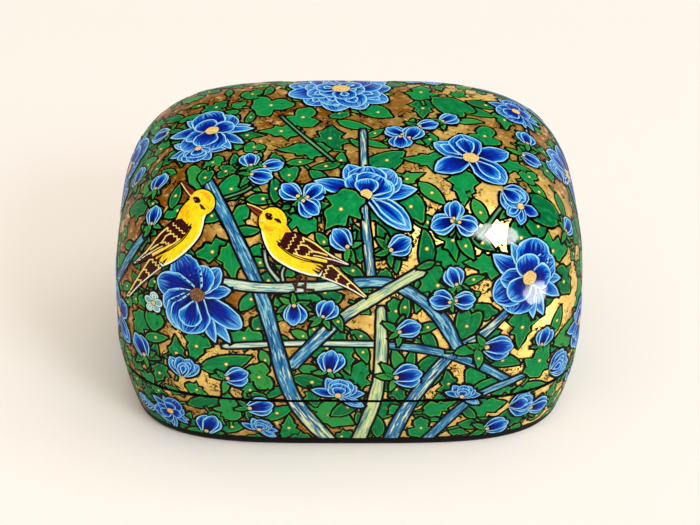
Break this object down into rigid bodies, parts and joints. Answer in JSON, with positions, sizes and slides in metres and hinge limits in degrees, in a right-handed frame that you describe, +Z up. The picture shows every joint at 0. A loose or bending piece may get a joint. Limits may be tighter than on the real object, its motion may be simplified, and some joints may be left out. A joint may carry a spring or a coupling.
{
  "type": "lidded papier-mache box",
  "caption": "Cushion-shaped papier-mache keepsake box with a shallow base, an inner collar and a deep domed lift-off lid, painted and lacquered.",
  "frame": {"origin": "centre of the underside of the base, on the surface that the box stands on", "axes": "+Z up through the lid, +X along the length of the box, +Y along its width towards the back"},
  "size_m": [0.15, 0.106, 0.088],
  "materials": {
    "painted_skin": "painted and varnished papier-mache, glossy",
    "black_lining": "black lacquered papier-mache, satin"
  },
  "bodies": {
    "base": {"base_shell": "painted_skin", "inner_collar": "black_lining"},
    "lid": {"lid_shell": "painted_skin"}
  },
  "joints": [
    {"name": "lid_lift", "type": "slide", "parent": "base", "child": "lid", "axis": [0, 0, 1], "range_m": [0, 0.09]}
  ]
}
